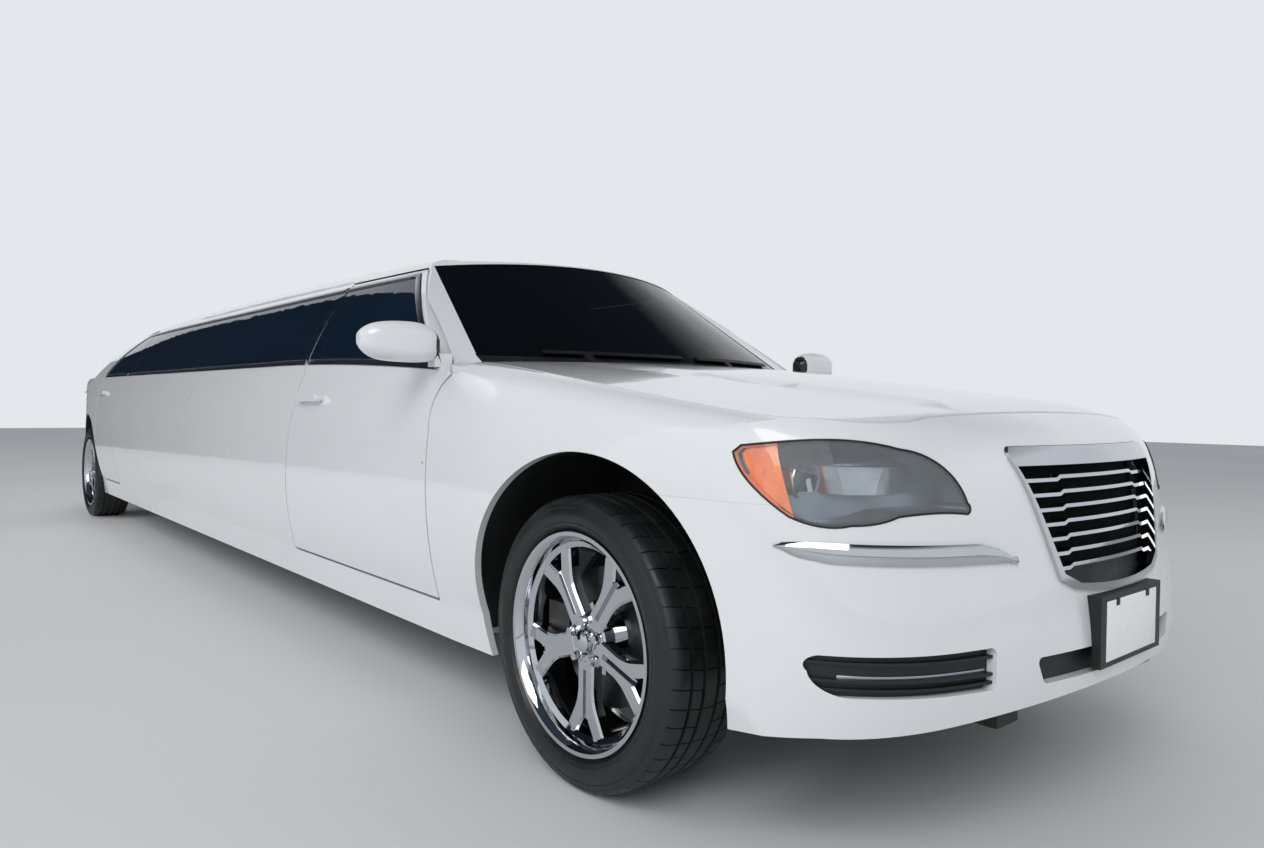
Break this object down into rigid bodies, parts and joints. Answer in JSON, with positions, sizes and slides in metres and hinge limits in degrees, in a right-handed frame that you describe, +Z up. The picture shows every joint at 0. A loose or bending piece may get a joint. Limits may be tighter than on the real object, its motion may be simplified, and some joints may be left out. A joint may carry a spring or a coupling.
{
  "type": "stretched limousine",
  "caption": "Long stretched limousine with a sedan nose and tail, dark side glass, a barred upright grille, forked-spoke wheels and opening doors, hood and boot.",
  "frame": {"origin": "on the ground, at the middle of the length and width", "axes": "+X forward, +Y to the vehicle's left, +Z up"},
  "size_m": [8.6, 2.256, 1.5326],
  "materials": {
    "white_paint": "gloss",
    "tinted_glass": "gloss",
    "chrome": "polished",
    "tyre": "satin",
    "lamp_clear": "gloss",
    "lamp_red": "gloss",
    "leather": "satin",
    "black_plastic": "matte",
    "dark_trim": "satin",
    "steel": "satin",
    "plate_white": "gloss"
  },
  "bodies": {
    "body": {"body_side_left": "white_paint", "body_side_right": "white_paint", "brow_trims": "chrome", "cowl": "black_plastic", "dashboard": "dark_trim", "driveshaft": "steel", "engine": "steel", "exhaust": "steel", "floor": "black_plastic", "front_bumper": "white_paint", "front_fender_left": "white_paint", "front_fender_right": "white_paint", "front_plate": "plate_white", "front_rails": "steel", "front_seats": "leather", "front_suspension": "steel", "grille": "chrome", "headlamps": "lamp_clear", "lounge_seat": "leather", "lower_grilles": "black_plastic", "partition": "dark_trim", "rear_axle": "steel", "rear_bumper": "white_paint", "rear_glass": "tinted_glass", "rear_plate": "plate_white", "rear_quarter_left": "white_paint", "rear_quarter_right": "white_paint", "rear_seat": "leather", "rear_shelf": "dark_trim", "roof": "white_paint", "stretch_glass_left": "tinted_glass", "stretch_glass_right": "tinted_glass", "tail_lamps": "lamp_red", "wheel_liners": "black_plastic", "windshield": "tinted_glass", "wipers": "black_plastic"},
    "front_door_left": {"front_door_left": "white_paint", "front_door_glass_left": "tinted_glass"},
    "front_door_right": {"front_door_right": "white_paint", "front_door_glass_right": "tinted_glass"},
    "rear_door_left": {"rear_door_left": "white_paint", "rear_door_glass_left": "tinted_glass"},
    "rear_door_right": {"rear_door_right": "white_paint", "rear_door_glass_right": "tinted_glass"},
    "hood": {"hood": "white_paint"},
    "boot_lid": {"boot_lid": "white_paint"},
    "knuckle_left": {"knuckle_left": "steel"},
    "knuckle_right": {"knuckle_right": "steel"},
    "wheel_front_left": {"wheel_front_left": "chrome", "tyre_front_left": "tyre"},
    "wheel_front_right": {"wheel_front_right": "chrome", "tyre_front_right": "tyre"},
    "wheel_rear_left": {"wheel_rear_left": "chrome", "tyre_rear_left": "tyre"},
    "wheel_rear_right": {"wheel_rear_right": "chrome", "tyre_rear_right": "tyre"}
  },
  "joints": [
    {"name": "steer_left", "type": "hinge", "parent": "body", "child": "knuckle_left", "pos_m": [3.375, 0.752, 0.361], "axis": [0, 0, 1], "range_deg": [-30, 30]},
    {"name": "spin_front_left", "type": "hinge", "parent": "knuckle_left", "child": "wheel_front_left", "pos_m": [3.375, 0.8055, 0.361], "axis": [0, 1, 0], "continuous": true},
    {"name": "spin_rear_left", "type": "hinge", "parent": "body", "child": "wheel_rear_left", "pos_m": [-3.233, 0.8055, 0.361], "axis": [0, 1, 0], "continuous": true},
    {"name": "front_door_left_hinge", "type": "hinge", "parent": "body", "child": "front_door_left", "pos_m": [2.619, 0.936, 0.7], "axis": [0, 0, -1], "range_deg": [0, 65]},
    {"name": "rear_door_left_hinge", "type": "hinge", "parent": "body", "child": "rear_door_left", "pos_m": [-2.18, 0.936, 0.7], "axis": [0, 0, -1], "range_deg": [0, 65]},
    {"name": "steer_right", "type": "hinge", "parent": "body", "child": "knuckle_right", "pos_m": [3.375, -0.752, 0.361], "axis": [0, 0, 1], "range_deg": [-30, 30]},
    {"name": "spin_front_right", "type": "hinge", "parent": "knuckle_right", "child": "wheel_front_right", "pos_m": [3.375, -0.8055, 0.361], "axis": [0, 1, 0], "continuous": true},
    {"name": "spin_rear_right", "type": "hinge", "parent": "body", "child": "wheel_rear_right", "pos_m": [-3.233, -0.8055, 0.361], "axis": [0, 1, 0], "continuous": true},
    {"name": "front_door_right_hinge", "type": "hinge", "parent": "body", "child": "front_door_right", "pos_m": [2.619, -0.936, 0.7], "axis": [0, 0, 1], "range_deg": [0, 65]},
    {"name": "rear_door_right_hinge", "type": "hinge", "parent": "body", "child": "rear_door_right", "pos_m": [-2.18, -0.936, 0.7], "axis": [0, 0, 1], "range_deg": [0, 65]},
    {"name": "hood_hinge", "type": "hinge", "parent": "body", "child": "hood", "pos_m": [2.585, 0, 1.06], "axis": [0, -1, 0], "range_deg": [0, 50]},
    {"name": "boot_lid_hinge", "type": "hinge", "parent": "body", "child": "boot_lid", "pos_m": [-3.591, 0, 1.175], "axis": [0, 1, 0], "range_deg": [0, 75]}
  ],
  "couplings": [
    {"joint": "steer_right", "follows": "steer_left", "ratio": 1}
  ]
}
